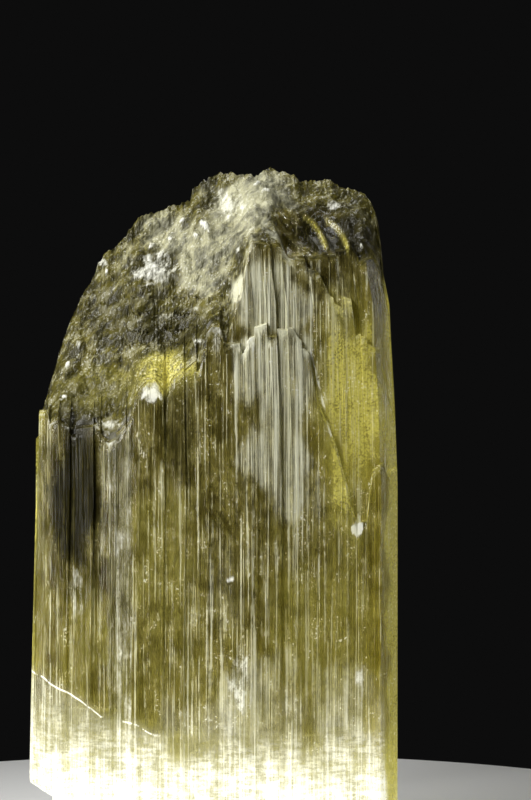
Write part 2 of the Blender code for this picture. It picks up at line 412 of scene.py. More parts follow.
@dataclass(frozen=True)
class Markings:
    """Where the crystal is cloudy, warm, in painted shade or white, drawn in the front view.

    Attributes:
        clouds: milky zones.
        warm: honey-coloured zones.
        shade: clear zones covered by painted shade.
        chalk: zones of white flakes and bruises.
        crescents: painted highlights, bright curved lines along the scoop's ripples.
        painted_glints: painted highlights, bright lines on the prism.
        crack: the healed crack over the white foot, as (x, z).
        crack_end: where the crack fades out and the foot's edge turns ragged.
        crack_fade: half the length over which it does.
        raggedness: how far the foot's edge strays, past the crack and along it.
        ragged_size: length of those strays along X, Y and Z.
        softness: how soft the foot's edge is, past the crack and along it.
        band: a narrow pale facet, as four rising places across.
        band_top: height of its top.
        band_fade: half the height over which its top fades out.
        band_cloud: how cloudy it is.
        band_shade: how strong its painted shade gets.
        band_dusk: the heights between which the band's painted shade sets in.
        band_white: how white the band is at its foot and at its top.
        gleam_depths: where the crescents end and where they are full, from front to back.
        gleam_white: how white the crescents' painted highlights are.
        veil_wander: how the edges of clouds and warm zones wander.
        mark_wander: how the edges of white zones wander.
        shade_wander: share of the veils' wandering that the painted-shade zones have.
    """

    clouds: tuple[Zone, ...] = (
        Zone(-1.4, 50.2, 6.2, 4.6, 0.66),
        Zone(2.6, 54.8, 5.0, 2.8, 0.7),
        Zone(4.8, 46.3, 3.8, 4.8, 1.15),
        Zone(4.8, 39.8, 4.6, 4.4, 1.15),
        Zone(5.4, 33.0, 3.8, 5.4, 1.05),
        Zone(8.4, 29.6, 2.0, 3.0, 0.6),
        Zone(1.3, 21.5, 1.8, 4.4, 0.5),
        Zone(3.4, 12.6, 4.6, 4.4, 0.75),
        Zone(-11.3, 18.5, 1.6, 4.6, 0.4),
        Zone(10.6, 12.0, 4.0, 4.0, 0.7),
        Zone(-13.0, 10.0, 2.0, 3.0, 0.4),
        Zone(10.8, 45.6, 1.6, 3.6, 0.6),
    )
    warm: tuple[Zone, ...] = (
        Zone(12.1, 36.6, 3.1, 9.6, 1.0),
        Zone(15.5, 22.0, 1.0, 34.0, 1.0),
        Zone(-15.4, 23.0, 1.2, 14.0, 0.8),
        Zone(-3.8, 39.7, 2.4, 1.5, 0.85),
        Zone(-9.5, 38.4, 3.4, 1.8, 0.4),
        Zone(-4.0, 23.5, 3.0, 6.0, 0.4),
        Zone(9.5, 17.5, 4.6, 7.5, 0.45),
        Zone(-11.0, 17.0, 2.4, 5.0, 0.5),
    )
    shade: tuple[Zone, ...] = (
        Zone(-11.7, 29.4, 3.0, 8.2, 1.0),
        Zone(10.2, 51.9, 4.2, 2.9, 1.0),
        Zone(-2.7, 34.6, 1.4, 4.4, 0.8),
        Zone(-14.4, 29.5, 1.0, 5.5, 0.6),
        Zone(-15.0, 20.5, 0.8, 5.0, 0.45),
        Zone(-2.6, 43.6, 3.8, 1.7, 0.6),
        Zone(-9.4, 44.8, 3.0, 2.2, 0.4),
        Zone(12.3, 53.8, 1.8, 1.4, 0.5),
        Zone(-10.0, 37.8, 3.8, 2.2, 0.5),
    )
    chalk: tuple[Zone, ...] = (
        Zone(-5.5, 38.0, 1.2, 1.15, 0.8),
        Zone(-4.5, 44.7, 1.7, 0.45, 0.5),
        Zone(-6.5, 43.5, 1.2, 0.4, 0.5),
        Zone(-1.9, 45.3, 1.6, 0.4, 0.45),
        Zone(-5.0, 48.8, 2.5, 1.7, 0.62),
        Zone(-9.9, 49.5, 0.8, 0.6, 0.6),
        Zone(2.6, 41.9, 4.0, 1.3, 0.5),
        Zone(12.3, 26.6, 0.6, 0.7, 1.0),
        Zone(-11.5, 20.8, 0.9, 2.9, 0.52),
        Zone(1.4, 22.2, 0.7, 0.6, 0.8),
        Zone(10.6, 54.4, 0.8, 0.5, 0.5),
        Zone(2.4, 13.8, 1.1, 3.4, 0.6),
        Zone(7.6, 12.0, 2.6, 2.0, 0.42),
        Zone(12.6, 13.4, 1.4, 2.6, 0.5),
        Zone(-2.6, 12.0, 2.4, 1.8, 0.42),
        Zone(11.4, 20.0, 0.6, 2.2, 0.5),
        Zone(-9.0, 35.4, 2.4, 0.5, 0.5),
        Zone(3.0, 51.0, 1.6, 3.6, 0.35),
        Zone(0.8, 54.5, 2.2, 1.6, 0.5),
    )
    crescents: tuple[Stroke, ...] = (
        Stroke(((8.0, 53.4), (8.7, 52.8), (9.2, 52.0), (9.55, 51.2), (9.7, 50.6)), 0.32, 1.0),
        Stroke(((9.9, 53.0), (10.6, 52.5), (11.1, 51.8), (11.4, 51.1), (11.5, 50.5)), 0.28, 0.9),
    )
    painted_glints: tuple[Stroke, ...] = (
        Stroke(((-6.6, 33.4), (-5.9, 30.2)), 0.14, 0.6),
        Stroke(((-5.7, 32.8), (-5.0, 29.4)), 0.12, 0.6),
        Stroke(((-7.2, 32.0), (-6.6, 28.6)), 0.12, 0.5),
        Stroke(((-0.9, 33.6), (-0.2, 29.8)), 0.12, 0.5),
        Stroke(((-6.9, 36.2), (-5.6, 32.3)), 0.16, 0.8),
        Stroke(((8.3, 41.8), (10.2, 34.0)), 0.18, 0.9),
        Stroke(((14.8, 38.8), (14.7, 31.4)), 0.14, 0.8),
        Stroke(((-3.9, 31.4), (-3.8, 37.0), (-2.9, 39.2), (-1.2, 40.5)), 0.14, 0.6),
        Stroke(((5.6, 54.6), (6.6, 51.2), (6.4, 50.0)), 0.4, 0.4),
        Stroke(((7.0, 54.1), (9.4, 54.0), (13.0, 53.0)), 0.16, 0.3),
    )
    crack: Line = (
        (-15.8, 14.1), (-13.4, 13.1), (-11.2, 11.9), (-9.5, 10.5), (-6.4, 10.0), (-3.8, 8.4),
        (-1.0, 9.0), (3.0, 10.6), (8.0, 8.6), (12.0, 10.8), (14.6, 8.2), (15.2, -4.0),
    )
    crack_end: float = -4.4
    crack_fade: float = 0.8
    raggedness: Pair = (5.0, 0.25)
    ragged_size: Triple = (1.5, 3.0, 3.0)
    softness: Pair = (5.5, 1.0)
    band: Row = (-8.9, -8.75, -6.9, -6.65)
    band_top: float = 34.7
    band_fade: float = 0.4
    band_cloud: float = 0.6
    band_shade: float = 0.5
    band_dusk: Pair = (8.0, 26.0)
    band_white: Pair = (0.62, 0.36)
    gleam_depths: Pair = (3.2, 2.2)
    gleam_white: float = 0.45
    veil_wander: Wander = Wander((2.6, 2.6, 3.4), 0.55, 0.3, 2.7)
    mark_wander: Wander = Wander((1.1, 1.1, 1.6), 0.6, 0.4, 2.9)
    shade_wander: float = 0.45

    def on_band(self, x: float, z: float) -> float:
        """1 on the pale facet, fading out at its sides and top."""
        top = ease(self.band_top + self.band_fade, self.band_top - self.band_fade, z)
        return window(self.band, x) * top

    def painted_gleam(self, x: float, y: float, z: float) -> float:
        """How bright the curved lines' painted highlights are at a point; only the front's scoop has
        them.
        """
        return max(line.share(x, z) for line in self.crescents) * ease(*self.gleam_depths, y)

    def veils(self, x: float, y: float, z: float) -> Triple:
        """How cloudy, how warm and how deep in painted shade the crystal is at a point.

        Args:
            x: place across.
            y: place from front to back.
            z: height.

        Returns:
            The cloudiness, the warmth with the crescents' painted highlights, and the painted shade.
        """
        wander = self.veil_wander.at((x, y, z))
        facet = self.on_band(x, z)
        bright = self.painted_gleam(x, y, z)
        cloudy = max(zone.share(x, z, wander) for zone in self.clouds)
        warm = max(zone.share(x, z, wander) for zone in self.warm)
        painted_shade = max(zone.share(x, z, wander * self.shade_wander) for zone in self.shade)
        cloudy = max(cloudy, facet * self.band_cloud)
        painted_shade = max(painted_shade, facet * self.band_shade * ease(*self.band_dusk, z))
        # The crescents' painted highlights add to the warmth and lift the painted shade.
        return cloudy, max(warm * (1 - painted_shade), bright), painted_shade * (1 - bright)

    def marks(self, x: float, y: float, z: float, rim: float) -> Triple:
        """Whiteness with painted highlights, and height over the crack, there and where the crack shows.

        Args:
            x: place across.
            y: place from front to back.
            z: height.
            rim: nearness to the top of a growth column, from 0 to 1; on the dome, its peaks' painted
                highlight.

        Returns:
            The whiteness with its painted highlights, the height over the crack and how far the crack
            shows.
        """
        wander = self.mark_wander.at((x, y, z))
        white = max(zone.share(x, z, wander) for zone in self.chalk)
        white = max(white, self.on_band(x, z) * mix(*self.band_white, z / self.band_top))
        lines = max(line.share(x, z) for line in self.painted_glints)
        shown = ease(self.crack_end + self.crack_fade, self.crack_end - self.crack_fade, x)
        stray = mix(*self.raggedness, shown) * soft_noise((x, y, z), self.ragged_size)
        height = (z - along(self.crack, x) + stray) / mix(*self.softness, shown)
        # Painted highlights: the glint lines, the dome's peaks and the crescents whiten it.
        return max(white, rim, lines, self.painted_gleam(x, y, z) * self.gleam_white), height, shown


@dataclass(frozen=True)
class CrystalFinish:
    """Clear yellow-green crystal, cloudy in zones and frosted where it is etched; shade, highlights and
    glow are painted.
    """

    # The clear crystal: its surface, what it lets through, and its refractive index.
    clear: Colour = (0.93, 0.93, 0.74)
    absorption: Colour = (0.76, 0.72, 0.05)
    density: float = 95.0
    index: float = 1.66
    # Darker and lighter colour of the prism's thin veils, then of etched crystal.
    umber: Colour = (0.09, 0.072, 0.014)
    gold: Colour = (0.60, 0.51, 0.13)
    moss: Colour = (0.045, 0.040, 0.010)
    olive: Colour = (0.15, 0.13, 0.02)
    # Colours of the warm zones, the clouds, the white flakes and painted highlights, and the painted
    # shade.
    honey: Colour = (0.70, 0.63, 0.13)
    milk: Colour = (0.87, 0.86, 0.63)
    chalk: Colour = (0.94, 0.94, 0.82)
    painted_shade: Colour = (0.016, 0.014, 0.004)
    # Painted glow, standing in for light from below: its colour and strength in the white foot, and its
    # share elsewhere.
    painted_glow_colour: Colour = (1.0, 0.99, 0.84)
    foot_glow: float = 0.72
    warm_glow: float = 0.37
    gold_glow: float = 0.30
    seam_glow: float = 0.7
    glow_reach: Rise = Rise(24.0, 2.0)
    least_glow: float = 0.4
    # Noises: clumps, dots, the etched top's fibres, the prism's lines and level veils.
    grain: Grain = Grain((0.6, 0.6, 0.34), 5.0, 0.8)
    fine: Grain = Grain((5.5, 5.5, 5.5), 1.0, 0.5)
    swirl: Grain = Grain((0.35, 0.9, 1.3), 3.0, 0.7, (0.0, 38.0, 0.0))
    lines: Grain = Grain((3.4, 3.4, 0.04), 3.0, 0.9)
    drift: Grain = Grain((0.55, 0.55, 2.4), 3.0, 0.75)
    # Hair-thin painted highlight lines, and how far they fade where it is etched, in painted shade and
    # warm.
    strand_rise: Rise = Rise(0.545, 0.60)
    strand_grain: float = 0.3
    strand_loss: Triple = (0.75, 0.9, 0.5)
    # Clouds: their edges, pushed by fibres on the prism, fibres anywhere and grain.
    cloud_rise: Rise = Rise(0.05, 1.3)
    cloud_sway: Triple = (1.6, 1.0, 1.3)
    cloud_gate: Rise = Rise(0.0, 0.95)
    cloud_body: Pair = (0.58, 0.32)
    cloud_lines: Rise = Rise(0.43, 0.57, 0.6)
    # The healed crack, and the white foot under it, by heights and by noises.
    seam_width: Rise = Rise(0.016, 0.0)
    seam_gaps: Rise = Rise(0.38, 0.5)
    foot_edge: Rise = Rise(0.95, -0.7)
    foot_body: Rise = Rise(14.0, 4.5, 0.68)
    foot_base: Rise = Rise(8.0, 0.0, 0.25)
    foot_least: Pair = (0.3, 0.38)
    foot_lines: Rise = Rise(0.42, 0.60, 0.22)
    foot_grain: Rise = Rise(0.36, 0.62, 0.3)
    foot_drift: Rise = Rise(0.38, 0.62, 0.3)
    # White flakes, pushed by grain and fibres, and painted sparkle dots on the etched top and the prism.
    flake_sway: Triple = (1.3, 1.6, 0.8)
    flake_rise: Rise = Rise(0.55, 1.0)
    flake_gate: Rise = Rise(0.04, 0.3)
    dots: Rise = Rise(0.60, 0.68)
    spark_places: Rise = Rise(0.42, 0.56, 0.45)
    crumb_places: Rise = Rise(0.50, 0.58, 0.8)
    # Shares of grain, fibres and swirl in the veils' patches, and of noises in the warm zones.
    patch_mix: Triple = (0.8, 0.3, 0.5)
    patch_rise: Rise = Rise(0.44, 0.66)
    honey_mix: Triple = (1.6, 3.6, 1.9)
    # How far clouds and the painted highlight lines tint the crystal, and how far those lines show in
    # painted shade.
    tint: Triple = (0.85, 0.75, 0.7)
    # How far it is covered: anywhere, etched, in clouds, highlight lines, warm zones, painted shade and
    # white zones.
    cover: Row = (0.32, 0.55, 0.4, 0.75, 0.6, 0.95, 0.95)
    # Roughness of the clear crystal and of what covers it, and how it rises.
    clear_roughness: Pair = (0.03, 0.12)
    roughness: Triple = (0.12, 0.25, 0.2)
    shine: float = 0.1
    # Fine relief: how much of the grain shows on the prism, its depth and its strength.
    relief: Triple = (0.3, 0.14, 0.6)

    def dress(self, piece: bpy.types.Object) -> None:
        """Give a mesh this finish."""
        piece.data.materials.append(CrystalShader(self).material)


class CrystalShader(Shader):
    """The crystal's material: its mesh's own numbers and noises steer all of it."""

    def __init__(self, finish: CrystalFinish) -> None:
        """Build the whole material.

        Args:
            finish: its colours and strengths.
        """
        super().__init__("spodumene")
        self.finish = finish
        self.etched = self.attribute("etched")
        self.prism = 1 - self.etched
        # The third veil channel tells where painted shade lies.
        self.cloud, self.warm, self.shade = self.parts(self.attribute("veils", "Vector"))
        self.white, self.over_crack, self.crack = self.parts(self.attribute("marks", "Vector"))
        self.height = self.parts(self.place)[2]
        self.grain = self.noise(finish.grain)
        self.fine = self.noise(finish.fine)
        self.swirl = self.noise(finish.swirl)
        self.lines = self.noise(finish.lines)
        self.fibre = self.lines * self.prism + self.swirl * self.etched
        self.strand_highlights = self.draw_painted_strands()
        self.milky = self.draw_clouds()
        self.seam = self.draw_seam()
        self.foot = self.draw_foot_and_glow()
        # Whiteness: real white flakes and seam, with painted sparkle and the foot, whose white is partly
        # painted glow.
        self.bright = self.draw_flakes().above(self.draw_painted_sparkle()).above(self.foot).above(self.seam)
        self.join()

    def draw_painted_strands(self) -> Term:
        """Painted highlights: bright hair-thin lines along the striations.

        Returns:
            How much of them shows.
        """
        etched, painted_shade, warm = self.finish.strand_loss
        fibre = self.fibre + self.grain.swing() * self.finish.strand_grain
        strand_highlights = self.finish.strand_rise.of(fibre) * (1 - self.etched * etched)
        return strand_highlights * (1 - self.shade * painted_shade) * (1 - self.warm * warm)

    def draw_clouds(self) -> Term:
        """Milky clouds, drawn out into fibres.

        Returns:
            How much of them shows.
        """
        on_prism, anywhere, clumps = self.finish.cloud_sway
        least, etched = self.finish.cloud_body
        sway = self.fibre.swing() * (self.prism * on_prism + anywhere) + self.grain.swing() * clumps
        body = self.etched * etched + least + self.finish.cloud_lines.of(self.lines) * self.prism
        return self.finish.cloud_rise.of(self.cloud + sway) * self.finish.cloud_gate.of(self.cloud) * body

    def draw_seam(self) -> Term:
        """The healed crack's broken white line."""
        line = self.finish.seam_width.of(self.over_crack * self.over_crack)
        return line * self.crack * self.finish.seam_gaps.of(self.grain)

    def draw_foot_and_glow(self) -> Term:
        """The white foot under the crack; the same share sets the painted glow from below.

        Returns:
            How white it is.
        """
        finish = self.finish
        top, veil = finish.foot_least
        veil = finish.foot_lines.of(self.lines) + finish.foot_grain.of(self.grain) + veil
        veil = veil + finish.foot_drift.of(self.noise(finish.drift))
        foot = (finish.foot_body.of(self.height) + top) * (veil + finish.foot_base.of(self.height))
        return finish.foot_edge.of(self.over_crack) * foot

    def draw_flakes(self) -> Term:
        """White flakes and bruises.

        Returns:
            How white they are.
        """
        white, clumps, fibres = self.finish.flake_sway
        sway = self.grain.swing() * clumps + self.fibre.swing() * fibres
        flakes = self.finish.flake_rise.of(self.white * white + sway)
        return flakes * self.finish.flake_gate.of(self.white)

    def draw_painted_sparkle(self) -> Term:
        """Painted sparkle: white specks on the etched top and on the prism.

        Returns:
            How white they are.
        """
        dots = self.finish.dots.of(self.fine) * (1 - self.shade)
        painted_sparks = self.finish.spark_places.of(self.swirl) * self.etched
        painted_crumbs = self.finish.crumb_places.of(self.grain) * self.prism
        return dots * painted_sparks.above(painted_crumbs)

    def colour(self) -> Term:
        """Colour of what covers the clear crystal, with painted shade and painted highlights.

        Returns:
            The cloudy surface's colour.
        """
        finish = self.finish
        clumps, fibres, swirls = finish.patch_mix
        patches = self.grain * clumps + self.fibre * fibres + self.swirl.swing() * self.etched * swirls
        dull = self.blend(finish.umber, finish.moss, self.etched)
        light = self.blend(finish.gold, finish.olive, self.etched)
        colour = self.blend(dull, light, finish.patch_rise.of(patches))
        clumps, dots, least = finish.honey_mix
        honey = self.warm * (self.grain * clumps + self.fine * dots - least)
        colour = self.blend(colour, finish.honey, honey)
        clouds, strand_highlights, in_painted_shade = finish.tint
        colour = self.blend(colour, finish.milk, (self.milky * clouds).above(self.strand_highlights * strand_highlights))
        # Painted shade: a near-black colour over the clear zones, broken by the highlight lines.
        painted_shade = self.shade * (1 - self.strand_highlights * in_painted_shade * self.prism)
        return self.blend(self.blend(colour, finish.painted_shade, painted_shade), finish.chalk, self.bright)

    def cover(self) -> Term:
        """How far the clear crystal is covered, painted shade and highlights included.

        Returns:
            The cloudy surface's share.
        """
        anywhere, etched, clouds, strand_highlights, warm, painted_shade, white = self.finish.cover
        cover = (self.milky * clouds + anywhere + self.etched * etched).above(self.strand_highlights * strand_highlights)
        return cover.above(self.warm * warm).above(self.shade * painted_shade).above(self.bright * white)

    def glow(self) -> Term:
        """Painted glow: emission that stands in for light coming up through the crystal.

        Returns:
            The light's colour.
        """
        finish = self.finish
        rising = finish.glow_reach.of(self.height) * (self.grain + finish.least_glow) * finish.gold_glow
        glow = self.blend((0.0,) * 3, finish.honey, (self.warm * finish.warm_glow).above(rising))
        return self.blend(glow, finish.painted_glow_colour, self.foot.above(self.seam * finish.seam_glow))

    def join(self) -> None:
        """Join the clear and the cloudy surface and what the crystal absorbs."""
        finish = self.finish
        on_prism, depth, strength = finish.relief
        relief = self.grain * (self.etched + on_prism) + self.lines * self.prism
        normal = self.bump(relief, depth, strength)
        least, etched = finish.clear_roughness
        clear = self.node("BsdfPrincipled", None, {
            "Base Color": (*finish.clear, 1.0),
            "Roughness": self.etched * etched + least,
            "IOR": finish.index,
            "Transmission Weight": 1.0,
            "Normal": normal,
        })
        least, etched, white = finish.roughness
        cloudy = self.node("BsdfPrincipled", None, {
            "Base Color": self.colour(),
            "Roughness": self.etched * etched + least + self.bright * white,
            "IOR": finish.index,
            "Specular IOR Level": finish.shine,
            "Normal": normal,
            # Painted glow: emission standing in for light from below.
            "Emission Color": self.glow(),
            "Emission Strength": finish.foot_glow,
        })
        surface = self.node("MixShader", None, {0: self.cover(), 1: clear, 2: cloudy})
        absorption = {"Color": (*finish.absorption, 1.0), "Density": finish.density}
        inside = self.node("VolumeAbsorption", None, absorption)
        self.node("OutputMaterial", None, {"Surface": surface, "Volume": inside})


@dataclass(frozen=True)
class InclusionFinish:
    """Tiny flakes and needles inside the crystal, some dull and some bright, with a painted glow.

    Attributes:
        name: the material's name.
        dull: colour of the dull ones.
        bright: colour of the bright ones.
        glow: strength of their painted glow, standing in for light that they pass on from below.
        grain: noise that picks the bright ones.
        patches: where that noise turns from dull to bright.
        roughness: how rough the dull ones are, and how much rougher the bright ones.
    """

    name: str
    dull: Colour
    bright: Colour
    glow: float
    grain: Grain = Grain((1.3, 1.3, 0.5), 3.0, 0.6)
    patches: Rise = Rise(0.35, 0.65)
    roughness: Pair = (0.3, 0.3)

    def dress(self, piece: bpy.types.Object) -> None:
        """Give a mesh this finish.

        Args:
            piece: the mesh.
        """
        shader = Shader(self.name)
        patch = self.patches.of(shader.noise(self.grain))
        colour = shader.blend(self.dull, self.bright, patch)
        surface = shader.node("BsdfPrincipled", None, {
            "Base Color": colour,
            "Roughness": patch * self.roughness[1] + self.roughness[0],
            # Painted glow: the inclusions emit their own colour.
            "Emission Color": colour,
            "Emission Strength": self.glow,
        })
        shader.node("OutputMaterial", None, {"Surface": surface})
        piece.data.materials.append(shader.material)


@dataclass(frozen=True)
class StageFinish:
    """Matt pale board, faintly mottled with a darker shade."""

    pale: Colour = (0.72, 0.72, 0.70)
    shade: Colour = (0.68, 0.68, 0.665)
    mottling: Grain = Grain((0.05, 0.05, 0.05), 3.0, 0.5)
    roughness: float = 0.85

    def dress(self, piece: bpy.types.Object) -> None:
        """Give a mesh this finish.

        Args:
            piece: the mesh.
        """
        shader = Shader("pale_board")
        surface = shader.node("BsdfPrincipled", None, {
            "Base Color": shader.blend(self.pale, self.shade, shader.noise(self.mottling)),
            "Roughness": self.roughness,
        })
        shader.node("OutputMaterial", None, {"Surface": surface})
        piece.data.materials.append(shader.material)


@dataclass(frozen=True)
class Column:
    """One growth column of a prism face.

    Attributes:
        start: its left edge.
        end: its right edge.
        depth: how far it stands back.
        tilt: how much its face is turned, in depth per width.
        tops: how far it ends above or below each drawn ledge, from -1 to 1.
    """

    start: float
    end: float
    depth: float
    tilt: float
    tops: Row


class Side(Enum):
    """The two broad sides of the crystal, by the sign of Y."""

    FRONT = -1.0
    BACK = 1.0


@dataclass
class PrismFace:
    """A striated face of the prism: growth columns with hair-thin striations on them.

    Attributes:
        half_width: half the face's width.
        widths: narrowest and widest column.
        depth: deepest column.
        most_tilt: the most that a column is turned.
        fade: where the columns fade out towards the face's edges.
        hair_widths: narrowest and widest striation.
        hair_depth: deepest striation.
        hair_swell: length over which a striation comes and goes.
        hair_rise: values of its noise between which it comes.
        least_hair: share of its depth that always stays.
        columns: its growth columns, from left to right.
        hairs: its striations, as (start, depth).
    """

    half_width: float
    widths: Pair
    depth: float = 0.42
    most_tilt: float = 0.07
    fade: Row = (-15.6, -14.2, 14.2, 15.6)
    hair_widths: Pair = (0.10, 0.42)
    hair_depth: float = 0.075
    hair_swell: float = 7.0
    hair_rise: Pair = (-0.15, 0.25)
    least_hair: float = 0.35
    columns: list[Column] = field(default_factory=list)
    hairs: list[Pair] = field(default_factory=list)

    def grow(self, chance: random.Random, ledges: int) -> None:
        """Draw the columns, in the same order of chances as the solid's.

        Args:
            chance: the stream of chances.
            ledges: how many ledges each column has a top for.
        """
        start = -self.half_width
        while start < self.half_width:
            end = start + chance.uniform(*self.widths)
            depth = self.depth * chance.random() ** 2
            tilt = self.most_tilt * chance.uniform(-1, 1)
            tops = tuple(chance.uniform(-1, 1) for _ in range(ledges))
            self.columns.append(Column(start, end, depth, tilt, tops))
            start = end

    def striate(self, chance: random.Random) -> None:
        """Draw the hair-thin striations over the columns.

        Args:
            chance: the stream of chances.
        """
        start = -self.half_width
        while start < self.half_width:
            self.hairs.append((start, self.hair_depth * chance.random() ** 1.5))
            start += chance.uniform(*self.hair_widths)

    def column_at(self, x: float) -> Column:
        """The growth column at x."""
        return self.columns[bisect_right([column.start for column in self.columns], x) - 1]

    def depth_at(self, x: float) -> float:
        """How far the face stands back at x by its columns alone.

        Args:
            x: place across.

        Returns:
            The depth.
        """
        column = self.column_at(x)
        depth = column.depth + column.tilt * (x - (column.start + column.end) / 2)
        return max(0.0, depth) * window(self.fade, x)

    def hair_at(self, x: float, z: float) -> float:
        """How far a striation cuts in at a place; each one comes and goes up the face.

        Args:
            x: place across.
            z: height.

        Returns:
            The cut's depth.
        """
        turn = bisect_right([start for start, _ in self.hairs], x) - 1
        come_and_go = noise.noise(Vector((turn * 7.3, z / self.hair_swell, 0.5)))
        return self.hairs[turn][1] * mix(self.least_hair, 1.0, ease(*self.hair_rise, come_and_go))


@dataclass
class Crystal:
    """The whole crystal, lofted from upright slices that run from its front to its back.

    Attributes:
        front_plan: the front of the prism in plan, as (x, y).
        back_plan: the back of the prism in plan, as (x, y).
        left_edge: the left upright edge seen from the front, as (z, x).
        right_edge: the right upright edge seen from the front, as (z, x).
        ridge: the skyline seen from the front, as (x, z).
        layers: the tops of the three stepped layers of the front, as (x, z).
        back_ledge: the top of the back face, as (x, z).
    """

    # The size, and the drawn lines of the plan, the outline and the steps.
    width: float = 32.0
    depth: float = 15.2
    front_plan: Line = (
        (-16.0, -0.4), (-15.8, -2.2), (-14.1, -4.6), (-8.8, -6.2), (-6.7, -6.8),
        (3.2, -7.6), (14.3, -6.9), (15.8, -4.6), (16.0, -0.9),
    )
    back_plan: Line = (
        (-16.0, 0.6), (-15.6, 3.0), (-12.6, 6.0), (-4.0, 7.2), (6.0, 7.6),
        (13.2, 6.2), (15.7, 2.4), (16.0, 0.3),
    )
    left_edge: Line = (
        (0.0, -16.0), (5.2, -16.0), (11.3, -15.9), (20.0, -15.7), (28.8, -15.5), (58.0, -15.5),
    )
    right_edge: Line = (
        (0.0, 16.0), (30.5, 16.0), (37.5, 15.75), (41.8, 15.5), (45.8, 15.3), (48.4, 14.8),
        (50.9, 14.6), (53.2, 14.3), (58.0, 13.8),
    )
    ridge: Line = (
        (-15.5, 34.2), (-15.2, 34.6), (-15.0, 36.7), (-14.6, 37.9), (-14.4, 38.9), (-13.9, 40.5),
        (-13.4, 42.3), (-12.3, 45.3), (-11.3, 47.5), (-10.8, 48.0), (-10.2, 49.7), (-9.7, 50.5),
        (-8.7, 51.0), (-7.6, 52.3), (-6.6, 53.7), (-5.5, 54.1), (-3.4, 54.8), (-2.1, 55.2),
        (-1.9, 56.1), (-0.8, 57.0), (0.6, 57.7), (1.8, 57.5), (3.9, 57.4), (4.4, 58.0),
        (5.4, 57.9), (6.5, 57.6), (7.5, 56.9), (10.2, 57.0), (10.7, 56.5), (12.2, 56.1),
        (13.3, 55.5), (13.8, 54.6), (14.3, 53.2),
    )
    layers: tuple[Line, Line, Line] = (
        (
            (-15.5, 33.8), (-15.2, 34.0), (-15.1, 36.4), (-14.1, 36.4), (-14.0, 35.4),
            (-13.2, 35.9), (-13.0, 35.2), (-12.0, 34.6), (-9.9, 34.8), (-8.8, 33.9),
            (-7.8, 34.4), (-6.9, 35.9), (-6.6, 37.7), (-5.7, 38.7), (-4.8, 38.7), (-4.1, 37.7),
            (-4.0, 36.4), (-3.8, 37.8), (-3.2, 38.7), (-1.1, 40.5), (-0.8, 42.0), (0.0, 42.9),
            (0.7, 42.9), (1.1, 41.6), (2.6, 41.7), (3.2, 42.7), (4.9, 43.4), (6.9, 43.2),
            (7.4, 42.3), (8.2, 41.8), (8.9, 37.5), (10.2, 34.4), (11.6, 29.5), (12.3, 27.4),
            (13.1, 27.7), (13.5, 31.4), (14.5, 32.1), (15.0, 31.0), (16.0, 31.4),
        ),
        (
            (1.1, 41.7), (2.3, 46.2), (2.9, 49.5), (3.4, 50.5), (5.5, 50.1), (6.5, 49.4),
            (7.9, 49.3), (8.1, 48.6), (9.1, 48.2), (10.0, 46.3), (10.8, 45.9), (11.9, 45.5),
            (12.2, 42.4), (12.8, 42.7), (14.2, 42.1), (14.6, 39.9), (15.0, 37.5), (16.0, 34.0),
        ),
        (
            (2.0, 46.2), (6.5, 49.4), (8.0, 49.6), (11.3, 49.8), (11.8, 50.3), (12.4, 49.2),
            (13.6, 49.5), (14.3, 49.1), (15.0, 46.2), (15.6, 42.7), (16.0, 37.5),
        ),
    )
    back_ledge: Line = (
        (-15.5, 32.0), (-14.0, 34.0), (-11.0, 40.5), (-7.0, 45.5), (-1.0, 48.5), (4.0, 47.0),
        (9.0, 50.5), (13.0, 48.5), (14.3, 45.0),
    )
    # How ragged the columns' tops are, as (x, height).
    ragged_tops: Line = (
        (-15.0, 0.15), (-12.0, 0.5), (-5.0, 0.5), (0.0, 0.9), (8.0, 0.5), (14.0, 0.6),
    )
    # The share of the depth at which the ledges have their full size.
    full_thickness: float = 0.75
    # The ledges: how deep they are, how they rise, and the least step and dome.
    steps: Row = (0.6, 0.9, 0.7)
    back_step: float = 0.5
    ledge_rise: float = 0.15
    full_step: float = 1.2
    least_step: float = 0.03
    least_dome: float = 0.35
    # The ledges' worn lips: their height and how far they are worn back.
    lip: Pair = (0.35, 0.12)
    # Where the ridge runs between front and back, how it sways and how ragged it is.
    ridge_share: float = 0.60
    ridge_sway: float = 0.7
    sway_length: float = 3.0
    ridge_drop: float = 0.15
    row_slack: float = 0.2
    burrs: float = 2.2
    jags: tuple[Triple, Triple] = ((0.32, 0.75, 2.0), (0.2, 0.27, 9.0))
    jag_power: int = 7
    # How the dome's foot is smoothed, how the dome bulges and where it has settled.
    smoothing: Row = (-0.9, -0.6, -0.3, 0.0, 0.3, 0.6, 0.9)
    dome_power: float = 0.82
    back_power: float = 1.7
    settle_share: float = 0.22
    # The hollow scoop and its ripples: across, upwards, its profile, their middle and sizes.
    scoop: Row = (6.2, 7.3, 12.0, 13.2)
    scoop_heights: Row = (49.6, 50.4, 53.4, 54.0)
    scoop_end: float = 0.60
    scoop_rise: float = 0.52
    ripple_middle: Pair = (5.2, 48.8)
    ripples: Row = (3.4, 4.75, 6.2)
    ripple_height: float = 0.42
    ripple_width: float = 0.22
    # The dome's relief: swells and pits as (height, size), facets with a seat as well.
    swells: tuple[Pair, Pair] = ((0.55, 2.6), (0.28, 1.1))
    facets: tuple[Triple, Triple] = ((0.62, 1.7, 3.1), (0.17, 0.62, 0.0))
    facet_middle: float = 0.2
    pits: tuple[Pair, Pair] = ((0.06, 0.33), (0.03, 0.17))
